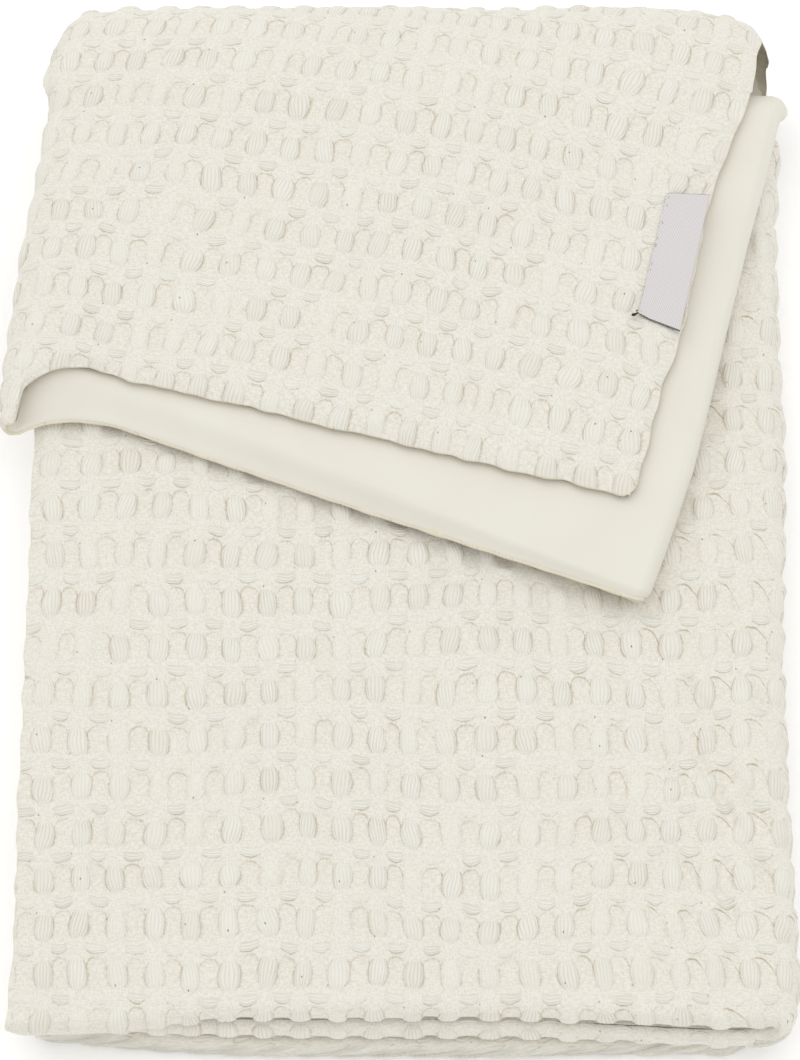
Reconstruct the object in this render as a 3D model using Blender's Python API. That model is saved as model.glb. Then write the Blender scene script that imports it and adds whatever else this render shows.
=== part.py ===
"""A folded baby blanket of waffle weave cotton with a plain lining, lying on a table.

The blanket is one cut of 75 x 100 cm. It is first doubled crosswise, lining inside, with the fold towards
the user (-Y) and one leg longer. It is then folded lengthwise in thirds, like a Z, so the pile has six
plies. The long leg turns over the far edge (+Y) and lies askew on the pile as a flap of three plies.

Both cloths follow one folding function. Each solid is the space between two offsets from the seam surface
that runs between the cloths: the waffle cloth lies on its outer side and the lining on its inner side.

Frame: metres, +Z up, +Y towards the flap's turn, -Y towards the near folds, the origin in the middle of
the underside.
"""

import bpy
import numpy as np

MM = 0.001
PLAN_CENTRE = (0.36 * MM, 10.88 * MM, 0.0)  # where the finished part's middle lies in the plan below

# ---- the cloths ----
WAFFLE_THICK = 2.4 * MM
LINING_THICK = 1.2 * MM
SEAM_GAP = 0.3 * MM  # between the waffle cloth and the lining
WAFFLE_PLY_GAP = 0.7 * MM  # between two plies that meet waffle to waffle
LINING_PLY_GAP = 0.8 * MM  # between two plies that meet lining to lining
FLAP_GAP = 0.5 * MM  # between the pile and the flap on it

WAFFLE_REACH = SEAM_GAP / 2 + WAFFLE_THICK  # from the seam surface to the waffle cloth's face
LINING_REACH = SEAM_GAP / 2 + LINING_THICK

# ---- heights of the seam surface, ply by ply ----
WAFFLE_STEP = 2 * WAFFLE_REACH + WAFFLE_PLY_GAP
LINING_STEP = 2 * LINING_REACH + LINING_PLY_GAP
LOWEST = WAFFLE_REACH  # the waffle face of the lowest ply lies on the table
SHORT_LEG_Z = (
    LOWEST + 3 * LINING_STEP + 2 * WAFFLE_STEP,
    LOWEST + LINING_STEP + WAFFLE_STEP,
    LOWEST + LINING_STEP,
)
LONG_LEG_Z = (
    LOWEST + 2 * LINING_STEP + 2 * WAFFLE_STEP,
    LOWEST + 2 * LINING_STEP + WAFFLE_STEP,
    LOWEST,
)
FLAP_BASE = SHORT_LEG_Z[0] + WAFFLE_REACH + FLAP_GAP + LINING_REACH
FLAP_Z = (FLAP_BASE, FLAP_BASE + WAFFLE_STEP, FLAP_BASE + WAFFLE_STEP + LINING_STEP)

# ---- the pile in plan ----
PILE_SIDES = np.array(  # y, left edge x, right edge x
    [
        (-190, -124.0, 128.2),
        (-157, -122.4, 127.8),
        (-100, -122.2, 126.4),
        (-46, -121.8, 126.2),
        (0, -121.4, 128.4),
        (54, -121.0, 128.8),
        (118, -119.5, 128.5),
        (160, -119.5, 131.5),
    ]
)
NEAR_TIPS = np.array(  # x, y of the near fold of the upper, middle and lower double
    [
        (-125, -186.5, -180.5, -179.5),
        (-90, -185.5, -181.5, -182.5),
        (-55, -181.0, -182.5, -184.5),
        (45, -181.0, -183.0, -185.0),
        (105, -184.0, -186.0, -184.0),
    ]
)
PILE_WIDTH = 250 * MM
SHORT_LEG_END = 153 * MM
LOWER_HEM_X = np.array([(-190, 109), (-100, 112), (160, 126)])  # y, x of the lowest double's free edge
LEFT_FOLD_INSET = 1.5 * MM
NEAR_CORNER = 18 * MM  # length over which the side folds draw in towards the near folds
NEAR_RIGHT_INSET = (4.5 * MM, 14.0 * MM)  # at the right fold, of the ply above it and the ply below it
NEAR_LEFT_INSET = 5.0 * MM

# ---- the turn over the far edge, and the flap ----
TURN_START = np.array([155, 155, 162]) * MM  # y where each ply of the long leg starts to turn
TURN_DEPTH = np.array([5.0, 11.2]) * MM  # how far the two inner plies reach past that
OUTER_TURN_END = 25 * MM  # the outer ply's reach at its ends
OUTER_TURN_RISE = 18.5 * MM  # how much further it reaches along its middle
OUTER_TURN_HALF_WIDTH = 127.5 * MM
OUTER_TURN_POWER = 8
SIDE_FOLD_BULGE = 8.5 * MM  # the most that a side fold rounds out sideways

TURN_SIDES = np.array(  # share of the turn, left fold's centre x, right fold's centre x, outer hem x
    [
        (0.0, -109.2, 122.7, 126.0),
        (0.5, -104.5, 128.8, 127.0),
        (1.0, -114.6, 126.0, 119.5),
    ]
)
FLAP_SIDES = np.array(  # share of the flap, left fold's centre x, right fold's centre x, outer hem x
    [
        (0.0, -114.6, 126.0, 119.5),
        (0.25, -117.7, 113.4, 109.6),
        (0.5, -121.1, 102.3, 99.5),
        (0.75, -123.7, 91.6, 87.6),
        (1.0, -127.4, 77.2, 78.0),
    ]
)
INNER_HEM_X = (-112 * MM, -100 * MM)  # the hidden ply's free edge, at the turn and at the flap's end
FLAP_HEMS = (  # each ply's end hem: a place at its right, its slope, and the curve of its left end, per metre
    dict(x=80 * MM, y=-33.0 * MM, slope=0.46, roll_from=-90 * MM, roll=0.0),
    dict(x=80 * MM, y=-34.6 * MM, slope=0.394, roll_from=-90 * MM, roll=10.0),
    dict(x=76.5 * MM, y=2.5 * MM, slope=0.272, roll_from=-100 * MM, roll=25.5),
)
OUTER_CORNER = 10 * MM  # radius of the flap's upper corner
DROOP_FROM = -112 * MM  # the flap's left fold hangs over the pile's side from here
DROOP = 5 * MM

# ---- soft creases: x, y, angle from +X in degrees, half length, half width, height ----
CREASES = np.array(
    [
        (86, -66, 62, 34, 9, -1.1),
        (104, -20, 60, 30, 8, 0.9),
        (70, -118, 55, 30, 10, 0.8),
        (112, 10, 75, 30, 8, -0.9),
        (-70, -60, 10, 60, 14, 0.7),
        (-20, -130, -6, 70, 12, -0.8),
        (-84, 118, 62, 40, 16, 0.9),
        (50, 102, -14, 26, 8, -1.0),
        (10, 150, -10, 70, 16, 0.8),
    ]
)

# ---- the label ----
LABEL_CENTRE = (92.2 * MM, 93.5 * MM)
LABEL_SIZE = (15 * MM, 52 * MM)
LABEL_TURN = 13.0  # degrees clockwise
LABEL_LEAF = 0.5 * MM
LABEL_LEAF_GAP = 0.4 * MM

# ---- facets: steps across each ply and side fold, and along each length ----
PLY_STEPS = (9, 6, 9)
PLY_END_CROWDING = 0.08  # how much closer together the steps lie at a ply's two ends
SIDE_FOLD_STEPS = 5
LENGTH_STEPS = (10, 5, 9, 8, 9)  # short leg, near fold, long leg, turn, flap
LABEL_STEPS = (3, 6, 6)  # across a leaf, round its fold, along


def look_up(table, at, column):
    """A column of a table in millimetres, read at a place in metres."""
    return np.interp(at / MM, table[:, 0], table[:, column]) * MM


def share_of(table, at, column):
    """A column of a table in millimetres, read at a share from 0 to 1."""
    return np.interp(at, table[:, 0], table[:, column]) * MM


def near_draw_in(distance):
    """How far, from 0 to 1, a side fold draws in at a distance from the near fold's tip."""
    left = np.clip(1 - distance / NEAR_CORNER, 0, 1)
    return 1 - np.sqrt(1 - left**2)


def pile_sides(ply, y, from_tip):
    """Left and right ends of a ply's flat stretch in the pile, at y and a distance from the near tip."""
    round_it = (SHORT_LEG_Z[0] - SHORT_LEG_Z[1]) / 2 + WAFFLE_REACH
    draw = near_draw_in(from_tip)
    left_hem = look_up(PILE_SIDES, y, 1)
    left_fold = left_hem + LEFT_FOLD_INSET + round_it + NEAR_LEFT_INSET * draw
    right_fold = look_up(PILE_SIDES, y, 2) - round_it - NEAR_RIGHT_INSET[min(ply, 1)] * draw
    left = (left_hem, left_fold, left_fold)[ply]
    right = (right_fold, right_fold, look_up(LOWER_HEM_X, y, 1))[ply]
    return left, right


def turned_sides(ply, table, share, hem_share):
    """Left and right ends of a ply's flat stretch in the turn or the flap."""
    left_hem = INNER_HEM_X[0] + (INNER_HEM_X[1] - INNER_HEM_X[0]) * hem_share
    left = (left_hem, share_of(table, share, 1), share_of(table, share, 1))[ply]
    right = (share_of(table, share, 2), share_of(table, share, 2), share_of(table, share, 3))[ply]
    return left, right


def end_hem_y(ply, x):
    """The line of the flap's end hem, which rolls down towards the left fold."""
    hem = FLAP_HEMS[ply]
    past = np.clip(hem["roll_from"] - x, 0, None)
    return hem["y"] + (hem["x"] - x) * hem["slope"] - hem["roll"] * past**2


def round_corner(x, y, right, hem_y):
    """Rounds the outer ply's free corner, where its long hem meets its end hem."""
    across = np.clip(1 - (right - x) / OUTER_CORNER, 0, 1)
    along = np.clip(1 - (y - hem_y) / OUTER_CORNER, 0, 1)
    x = x - OUTER_CORNER * across * (1 - np.sqrt(1 - along**2 / 2))
    y = y + OUTER_CORNER * along * (1 - np.sqrt(1 - across**2 / 2))
    return x, y


def turn_depth(ply, x):
    """How far a ply of the long leg reaches over the far edge."""
    if ply < 2:
        return TURN_DEPTH[ply] + 0 * x
    off_middle = np.clip(abs(x) / OUTER_TURN_HALF_WIDTH, 0, 1) ** OUTER_TURN_POWER
    return OUTER_TURN_END + OUTER_TURN_RISE * np.sqrt(1 - off_middle)


def ply_point(ply, across, along, offset):
    """A point of one ply. across runs from its left end, 0, to its right end, 1. along is 0 to 1 on the
    short leg, then to 2 round the near fold, 3 on the long leg, 4 round the turn and 5 on the flap.
    offset is the distance from the seam surface towards the waffle cloth."""
    up = (1, -1, 1)[ply]  # which way the waffle cloth faces on the short leg
    top, low = SHORT_LEG_Z[ply], LONG_LEG_Z[ply]
    half = (top - low) / 2 * up
    part, share = min(int(along), 4), along - min(int(along), 4)

    if part <= 2:
        tip = look_up(NEAR_TIPS, (across - 0.5) * PILE_WIDTH, ply + 1)
        bend_at = tip + half + WAFFLE_REACH
        if part == 1:
            angle = np.pi * share
            y = bend_at - half * np.sin(angle)
            z = (top + low) / 2 + up * half * np.cos(angle)
            facing = -np.sin(angle), up * np.cos(angle)
        else:
            far_end = SHORT_LEG_END if part == 0 else TURN_START[ply]
            near = share if part == 0 else 1 - share
            y = far_end + (bend_at - far_end) * near
            z = (top if part == 0 else low) + 0 * y
            facing = 0.0, up if part == 0 else -up
        left, right = pile_sides(ply, y, y - tip)
        x = left + (right - left) * across
    elif part == 3:
        left, right = turned_sides(ply, TURN_SIDES, share, 0)
        x = left + (right - left) * across
        angle = np.pi * share
        wide, high = turn_depth(ply, x), (FLAP_Z[ply] - low) / 2
        y = TURN_START[ply] + wide * np.sin(angle)
        z = low + high * (1 - np.cos(angle))
        size = np.hypot(high * np.sin(angle), wide * np.cos(angle)) * up
        facing = high * np.sin(angle) / size, -wide * np.cos(angle) / size
    else:
        left, right = turned_sides(ply, FLAP_SIDES, share, share)
        x = left + (right - left) * across
        hem_y = end_hem_y(ply, x)
        y = TURN_START[ply] + (hem_y - TURN_START[ply]) * share
        if ply == 2:
            x, y = round_corner(x, y, right, hem_y)
        z = FLAP_Z[ply] - DROOP * share * (np.clip(DROOP_FROM - x, 0, None) / (20 * MM)) ** 2
        facing = 0.0, up
    return np.stack([x, y + offset * facing[0], z + offset * facing[1] + 0 * x], axis=-1)


def side_fold(ply, angle, along, offset):
    """A point round the side fold that joins a ply to the next one: the right fold after the first ply,
    the left fold after the second. angle runs from 0 on this ply to pi on the next."""
    side = 1.0 if ply == 0 else 0.0
    ends = [ply_point(p, np.array([side]), along, offset)[0] for p in (ply, ply + 1)]
    plain = [ply_point(p, np.array([side]), along, 0.0)[0] for p in (ply, ply + 1)]
    middle, arm = (ends[0] + ends[1]) / 2, (ends[0] - ends[1]) / 2
    slack = max(np.linalg.norm(plain[0] - plain[1]) / 2 - SIDE_FOLD_BULGE, 0)
    out = np.array([2 * side - 1, 0, 0]) * (np.linalg.norm(arm) - slack)
    return middle + np.outer(np.cos(angle), arm) + np.outer(np.sin(angle), out)


def settle(points):
    """Soft creases, which lift or lower the upper plies and leave the underside flat on the table."""
    height = np.zeros(len(points))
    for x, y, turn, long, wide, rise in CREASES:
        dx, dy = points[:, 0] / MM - x, points[:, 1] / MM - y
        c, s = np.cos(np.radians(turn)), np.sin(np.radians(turn))
        height += rise * MM * np.exp(-(((dx * c + dy * s) / long) ** 2) - ((dy * c - dx * s) / wide) ** 2)
    share = np.clip(points[:, 2] / FLAP_Z[2], 0, 1) ** 2
    points[:, 2] += height * share
    return points


def ply_spread(steps):
    """Shares from 0 to 1 across a ply, closer together at its ends."""
    even = np.linspace(0, 1, steps + 1)
    return even - PLY_END_CROWDING * np.sin(2 * np.pi * even)


def folded_row(along, offset):
    """One row of points across the whole cloth, from the first ply's hem to the third ply's."""
    spread = [ply_spread(n) for n in PLY_STEPS]
    angle = np.linspace(0, np.pi, SIDE_FOLD_STEPS + 1)[1:-1]
    row = [
        ply_point(0, spread[0], along, offset),
        side_fold(0, angle, along, offset),
        ply_point(1, spread[1][::-1], along, offset),
        side_fold(1, angle, along, offset),
        ply_point(2, spread[2], along, offset),
    ]
    return settle(np.concatenate(row))


def lengthwise_places():
    """Where the rows lie along the cloth, closer together in its bends."""
    places = [part + np.arange(n) / n for part, n in enumerate(LENGTH_STEPS)]
    return np.append(np.concatenate(places), len(LENGTH_STEPS))


def closed_sheet(upper, lower):
    """Faces and points of the solid between two grids of points, with its rim. The upper grid's faces
    point away from the lower grid. Every quad is cut along the same diagonal, so that neighbouring
    offsets stay parallel."""
    rows, columns = len(upper), len(upper[0])
    points = np.concatenate([np.reshape(upper, (-1, 3)), np.reshape(lower, (-1, 3))])
    under = rows * columns

    def at(row, column):
        return row * columns + column

    faces = []
    for r in range(rows - 1):
        for c in range(columns - 1):
            near, far = at(r, c), at(r + 1, c + 1)
            for corners in ((near, at(r + 1, c), far), (near, far, at(r, c + 1))):
                faces.append(corners)
                faces.append(tuple(under + i for i in reversed(corners)))
    rim = [at(0, c) for c in range(columns)] + [at(r, columns - 1) for r in range(1, rows)]
    rim += [at(rows - 1, c) for c in range(columns - 2, -1, -1)] + [at(r, 0) for r in range(rows - 2, 0, -1)]
    for here, there in zip(rim, rim[1:] + rim[:1]):
        faces.append((here, there, under + there, under + here))
    return points, faces


def make_object(name, points, faces, colour, roughness):
    """One closed mesh object with its own plain material."""
    mesh = bpy.data.meshes.new(name)
    mesh.from_pydata((points - np.array(PLAN_CENTRE)).tolist(), [], faces)
    mesh.validate()
    cloth = bpy.data.objects.new(name, mesh)
    bpy.context.scene.collection.objects.link(cloth)
    material = bpy.data.materials.new(name)
    material.use_nodes = True
    shader = material.node_tree.nodes["Principled BSDF"]
    shader.inputs["Base Color"].default_value = (*colour, 1.0)
    shader.inputs["Roughness"].default_value = roughness
    shader.inputs["Metallic"].default_value = 0.0
    mesh.materials.append(material)
    mesh.shade_smooth()
    return cloth


def make_cloth(name, inner, outer, colour, roughness):
    """The solid between two offsets from the seam surface."""
    places = lengthwise_places()
    upper = [folded_row(v, outer) for v in places]
    lower = [folded_row(v, inner) for v in places]
    return make_object(name, *closed_sheet(upper, lower), colour, roughness)


def make_label():
    """A woven strip folded in a loop: two leaves on the flap, with their fold along the flap's long hem."""
    width, length = LABEL_SIZE
    across_steps, bend_steps, along_steps = LABEL_STEPS
    reach = LABEL_LEAF_GAP / 2 + LABEL_LEAF
    base = FLAP_Z[2] + WAFFLE_REACH + SEAM_GAP + reach
    bend_at = width / 2 - reach
    turn = np.radians(-LABEL_TURN)

    def leaf_rows(offset):
        flat = np.linspace(-width / 2, bend_at, across_steps + 1)
        angle = np.linspace(0, np.pi, bend_steps + 1)[1:-1]
        x = np.concatenate([flat, bend_at + offset * np.sin(angle), flat[::-1]])
        z = np.concatenate([0 * flat + offset, offset * np.cos(angle), 0 * flat - offset])
        rows = []
        for y in np.linspace(length / 2, -length / 2, along_steps + 1):
            px = LABEL_CENTRE[0] + x * np.cos(turn) - y * np.sin(turn)
            py = LABEL_CENTRE[1] + x * np.sin(turn) + y * np.cos(turn)
            rows.append(settle(np.stack([px, py, base + z], axis=-1)))
        return rows

    points, faces = closed_sheet(leaf_rows(reach), leaf_rows(LABEL_LEAF_GAP / 2))
    return make_object("label", points, faces, (0.70, 0.67, 0.69), 0.5)


def main():
    for old in list(bpy.data.objects):
        bpy.data.objects.remove(old)
    make_cloth("waffle_cloth", SEAM_GAP / 2, WAFFLE_REACH, (0.80, 0.77, 0.68), 0.9)
    make_cloth("lining", -LINING_REACH, -SEAM_GAP / 2, (0.82, 0.79, 0.71), 0.85)
    make_label()


main()
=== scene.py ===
# %% [markdown]
# # A folded baby blanket of waffle weave cotton
# The blanket has two cloths: an undyed waffle weave on the outside and a plain, smooth cotton
# behind it. It is doubled with the lining inside, folded in thirds, and its far end is turned over
# askew, so that the lining of the second layer shows. A bare woven label is sewn to the hem of the
# turned-over end.
#
# This lesson dresses a plain CAD model of the folded cloth. Each sheet starts as Blender's own flat
# grid. One folding function takes each of its points to its place, and the waffle's relief is added
# on the way.

# %% The frame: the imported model
import functools
import math

import bpy
import numpy as np
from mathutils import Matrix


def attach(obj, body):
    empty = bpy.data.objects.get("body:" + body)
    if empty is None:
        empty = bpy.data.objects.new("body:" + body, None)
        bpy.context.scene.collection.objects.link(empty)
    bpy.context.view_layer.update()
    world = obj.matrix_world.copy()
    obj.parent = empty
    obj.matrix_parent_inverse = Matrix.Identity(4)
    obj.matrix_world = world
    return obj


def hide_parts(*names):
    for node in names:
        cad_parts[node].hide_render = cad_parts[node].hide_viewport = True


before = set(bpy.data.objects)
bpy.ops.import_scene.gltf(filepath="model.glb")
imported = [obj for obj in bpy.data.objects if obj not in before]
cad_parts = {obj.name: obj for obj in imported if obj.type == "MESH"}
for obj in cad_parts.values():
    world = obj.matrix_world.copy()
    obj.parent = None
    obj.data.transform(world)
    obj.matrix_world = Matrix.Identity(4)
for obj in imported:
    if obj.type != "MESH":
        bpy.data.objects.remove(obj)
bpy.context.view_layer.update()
MM = 0.001

# %% [markdown]
# ## The camera
# The photograph looks down on the blanket at 60 degrees from its near side, from about two metres
# away. A long lens keeps the sides of the pile nearly parallel, as they are in the photograph.

# %% The camera
CAMERA_TARGET = (-0.36 * MM, -10.88 * MM, 20 * MM)
CAMERA_DISTANCE = 2.1
CAMERA_ELEVATION = math.radians(60)
PHOTO_WIDTH = 800  # pixels, of a picture 1060 high
FOCAL_PIXELS = 6330
SENSOR_MM = 36.0

bpy.ops.object.select_all(action="DESELECT")
bpy.ops.object.camera_add(
    location=(
        CAMERA_TARGET[0],
        CAMERA_TARGET[1] - CAMERA_DISTANCE * math.cos(CAMERA_ELEVATION),
        CAMERA_TARGET[2] + CAMERA_DISTANCE * math.sin(CAMERA_ELEVATION),
    ),
    rotation=(math.pi / 2 - CAMERA_ELEVATION, 0, 0),
)
camera = bpy.context.object
camera.name = "photo_camera"
camera.data.sensor_fit = "HORIZONTAL"
camera.data.sensor_width = SENSOR_MM
camera.data.lens = FOCAL_PIXELS / PHOTO_WIDTH * SENSOR_MM
camera.data.clip_end = 10
bpy.context.scene.camera = camera
print("camera lens, mm:", round(camera.data.lens, 1))

# %% [markdown]
# ## How the cloth is folded
# The folds could be drawn by hand or left to a cloth simulation. A folding function keeps every
# layer exactly beside its neighbours, so it is used here, with the sizes of the CAD model.
#
# A place on the cloth is two numbers. `across` runs 0 to 5: the first ply, the right side fold, the
# second ply, the left side fold, the third ply. `along` runs 0 to 5: the short leg, the near fold,
# the long leg, the turn over the far edge, the flap. `offset` is the distance from the seam surface
# towards the waffle. Where a size is three numbers, they are for the three plies.

# %% Sizes of the pile, in the plan of the photograph
PLAN_CENTRE = np.array((0.36, 10.88, 0.0)) * MM  # the finished part's middle in this plan
WAFFLE_REACH = 2.55 * MM  # from the seam surface to the waffle cloth's face
LINING_REACH = 1.35 * MM  # from the seam surface to the lining's face
SHORT_LEG_Z = (24.65 * MM, 11.85 * MM, 6.05 * MM)  # heights of the seam surface
LONG_LEG_Z = (21.15 * MM, 15.35 * MM, 2.55 * MM)
FLAP_Z = (29.05 * MM, 34.85 * MM, 38.35 * MM)
UP = (1, -1, 1)  # whether the short leg and the flap have their waffle side up

PILE_SIDES = (  # y, left edge x, right edge x, in mm
    (-190, -124.0, 128.2),
    (-157, -122.4, 127.8),
    (-100, -122.2, 126.4),
    (-46, -121.8, 126.2),
    (0, -121.4, 128.4),
    (54, -121.0, 128.8),
    (118, -119.5, 128.5),
    (160, -119.5, 131.5),
)
NEAR_TIPS = (  # x, then y of each ply's near fold, in mm
    (-125, -186.5, -180.5, -179.5),
    (-90, -185.5, -181.5, -182.5),
    (-55, -181.0, -182.5, -184.5),
    (45, -181.0, -183.0, -185.0),
    (105, -184.0, -186.0, -184.0),
)
LOWER_HEM_X = ((-190, 109), (-100, 112), (160, 126))  # y, x of the lowest ply's edge
PILE_WIDTH = 250 * MM
SHORT_LEG_END = 153 * MM
LEFT_FOLD_INSET = 1.5 * MM
NEAR_CORNER = 18 * MM  # the side folds draw in over this length, by these insets
NEAR_LEFT_INSET = 5.0 * MM
NEAR_RIGHT_INSET = (4.5 * MM, 14.0 * MM, 14.0 * MM)
SIDE_FOLD_BULGE = 8.5 * MM
print("height of the pile under the flap, mm:", round((SHORT_LEG_Z[0] + WAFFLE_REACH) / MM, 1))

# %% Sizes of the turn over the far edge, and of the flap
TURN_START = (155 * MM, 155 * MM, 162 * MM)  # y where each ply of the long leg starts to turn
TURN_DEPTH = (5.0 * MM, 11.2 * MM, 25 * MM)
LOOSE_RISE = 18.5 * MM  # how much farther the outer ply stands off along its middle
LOOSE_HALF_WIDTH = 127.5 * MM
LOOSE_POWER = 8
TURN_SIDES = (  # share of the turn, then x of the left fold, right fold and outer hem
    (0.0, -109.2, 122.7, 126.0),
    (0.5, -104.5, 128.8, 127.0),
    (1.0, -114.6, 126.0, 119.5),
)
FLAP_SIDES = (  # the same for shares of the flap
    (0.0, -114.6, 126.0, 119.0),
    (0.1, -115.8, 121.0, 113.3),
    (0.25, -117.7, 113.4, 104.6),
    (0.5, -121.1, 102.3, 96.3),
    (0.62, -122.4, 97.2, 92.0),
    (0.72, -123.4, 92.9, 86.6),
    (0.86, -125.3, 85.2, 81.4),
    (1.0, -127.4, 77.2, 76.0),
)
INNER_HEM_X = (-112 * MM, -100 * MM)  # the inner ply's side hem, at the turn and at the end
FLAP_HEMS = (  # a place at the right of each end hem, its slope, and the curve of its left end
    dict(x=80 * MM, y=-33.0 * MM, slope=0.46, roll_from=-90 * MM, roll=0.0),
    dict(x=80 * MM, y=-34.6 * MM, slope=0.394, roll_from=-90 * MM, roll=10.0),
    dict(x=76.5 * MM, y=2.5 * MM, slope=0.272, roll_from=-104 * MM, roll=25.5),
)
END_TUCK_FROM, END_TUCK = -124.3 * MM, 1150.0  # there the outer hem bends down to the ply below
OUTER_CORNER = 4 * MM  # radius of the outer ply's free corner
SAG = 4.8 * MM  # the second ply sags where nothing is under its hem
SAG_FULL = 8 * MM
DROOP_FROM, DROOP, DROOP_WIDTH = -112 * MM, 5 * MM, 20 * MM  # the flap's left side hangs down
slant = math.degrees(math.atan(FLAP_HEMS[2]["slope"]))
print("how far the flap's outer hem slants, degrees:", round(slant, 1))

# %% Soft creases
CREASES = (  # x, y, angle from +X in degrees, half length, half width, height, in mm
    (86, -66, 62, 34, 9, -1.1),
    (104, -20, 60, 30, 8, 0.9),
    (70, -118, 55, 30, 10, 0.8),
    (112, 10, 75, 30, 8, -0.9),
    (-70, -60, 10, 60, 14, 0.7),
    (-20, -130, -6, 70, 12, -0.8),
    (-84, 118, 62, 40, 16, 0.9),
    (50, 102, -14, 26, 8, -1.0),
    (10, 150, -10, 70, 16, 0.8),
    (102, -100, -66, 19, 2.0, -4.6),
    (113, -104, -60, 12, 1.9, -4.4),
    (104, -141, -62, 11, 1.9, -4.0),
    (116, -128, -64, 13, 1.9, -4.4),
    (119, -72, -62, 11, 1.9, -4.2),
    (98, -68, -62, 12, 1.9, -3.8),
    (88, -94, -60, 11, 1.9, -3.2),
    (91, -128, -64, 11, 1.9, -3.2),
)


def crease_lift(points):
    """How far the creases would lift each point if it lay on top of the flap."""
    lift = np.zeros(points.shape[:-1])
    for x, y, angle, half_length, half_width, height in CREASES:
        dx, dy = points[..., 0] / MM - x, points[..., 1] / MM - y
        c, s = math.cos(math.radians(angle)), math.sin(math.radians(angle))
        lengthwise, beside = (dx * c + dy * s) / half_length, (dy * c - dx * s) / half_width
        lift += height * MM * np.exp(-(lengthwise**2) - beside**2)
    return lift


print("creases:", len(CREASES))


# %% The sides of the pile, the turn and the flap
def look_up(table, at, column):
    """A size from a table in mm, between the rows that begin with the numbers next to at."""
    table = np.array(table)
    return np.interp(at, table[:, 0], table[:, column]) * MM


def pile_x(ply, y, from_tip, across):
    """x of a ply in the pile. Its side folds draw in towards the near fold's tip."""
    round_it = (SHORT_LEG_Z[0] - SHORT_LEG_Z[1]) / 2 + WAFFLE_REACH
    near = np.clip(1 - from_tip / NEAR_CORNER, 0, 1)
    draw = 1 - np.sqrt(1 - near**2)
    left_hem = look_up(PILE_SIDES, y / MM, 1)
    left_fold = left_hem + LEFT_FOLD_INSET + round_it + NEAR_LEFT_INSET * draw
    right_fold = look_up(PILE_SIDES, y / MM, 2) - round_it - NEAR_RIGHT_INSET[ply] * draw
    left = (left_hem, left_fold, left_fold)[ply]
    right = (right_fold, right_fold, look_up(LOWER_HEM_X, y / MM, 1))[ply]
    return left + (right - left) * across


def turned_x(ply, table, share, hem_share, across):
    """x of a ply in the turn or the flap, and its right end."""
    left_hem = INNER_HEM_X[0] + (INNER_HEM_X[1] - INNER_HEM_X[0]) * hem_share
    left_fold, right_fold, right_hem = (look_up(table, share, column) for column in (1, 2, 3))
    left = (left_hem, left_fold, left_fold)[ply]
    right = (right_fold, right_fold, right_hem)[ply]
    return left + (right - left) * across, right


def hem_line(ply, x):
    """y of a ply's end hem on the flap."""
    hem = FLAP_HEMS[ply]
    roll = hem["roll"] * np.clip(hem["roll_from"] - x, 0, None) ** 2
    tuck = END_TUCK * np.clip(END_TUCK_FROM - x, 0, None) ** 2 if ply == 2 else 0
    return hem["y"] + (hem["x"] - x) * hem["slope"] - roll - tuck


for ply in range(3):
    print("y of ply", ply, "end hem at the middle, mm:", round(hem_line(ply, 0.0) / MM, 1))


# %% The five stretches of one ply
def near_sizes(ply, across):
    """Half the near fold's height, and y of its tip."""
    half = (SHORT_LEG_Z[ply] - LONG_LEG_Z[ply]) / 2 * UP[ply]
    return half, look_up(NEAR_TIPS, (across - 0.5) * PILE_WIDTH / MM, ply + 1)


def leg(ply, across, share, offset, short):
    """A flat leg of the pile. The short leg runs to the near fold and the long leg away from it."""
    half, tip = near_sizes(ply, across)
    bend_at = tip + half + WAFFLE_REACH
    far_end = SHORT_LEG_END if short else TURN_START[ply]
    y = far_end + (bend_at - far_end) * (share if short else 1 - share)
    z = SHORT_LEG_Z[ply] + offset * UP[ply] if short else LONG_LEG_Z[ply] - offset * UP[ply]
    return pile_x(ply, y, y - tip, across), y, z


def near_fold(ply, across, share, offset):
    """Half a circle from the short leg down or up to the long leg."""
    half, tip = near_sizes(ply, across)
    angle = np.pi * share
    seam_y = tip + half + WAFFLE_REACH - half * np.sin(angle)
    middle_z = (SHORT_LEG_Z[ply] + LONG_LEG_Z[ply]) / 2
    z = middle_z + UP[ply] * (half + offset) * np.cos(angle)
    return pile_x(ply, seam_y, seam_y - tip, across), seam_y - offset * np.sin(angle), z


def turn(ply, across, share, offset):
    """Half an ellipse over the far edge. The outer ply stands off loosely along its middle."""
    x, _ = turned_x(ply, TURN_SIDES, share, 0, across)
    angle = np.pi * share
    wide, high = TURN_DEPTH[ply], (FLAP_Z[ply] - LONG_LEG_Z[ply]) / 2
    if ply == 2:
        off_middle = np.clip(abs(x) / LOOSE_HALF_WIDTH, 0, 1) ** LOOSE_POWER
        wide = wide + LOOSE_RISE * np.sqrt(1 - off_middle)
    size = np.hypot(high * np.sin(angle), wide * np.cos(angle)) * UP[ply]
    y = TURN_START[ply] + wide * np.sin(angle) + offset * high * np.sin(angle) / size
    z = LONG_LEG_Z[ply] + high * (1 - np.cos(angle)) - offset * wide * np.cos(angle) / size
    return x, y, z


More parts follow.
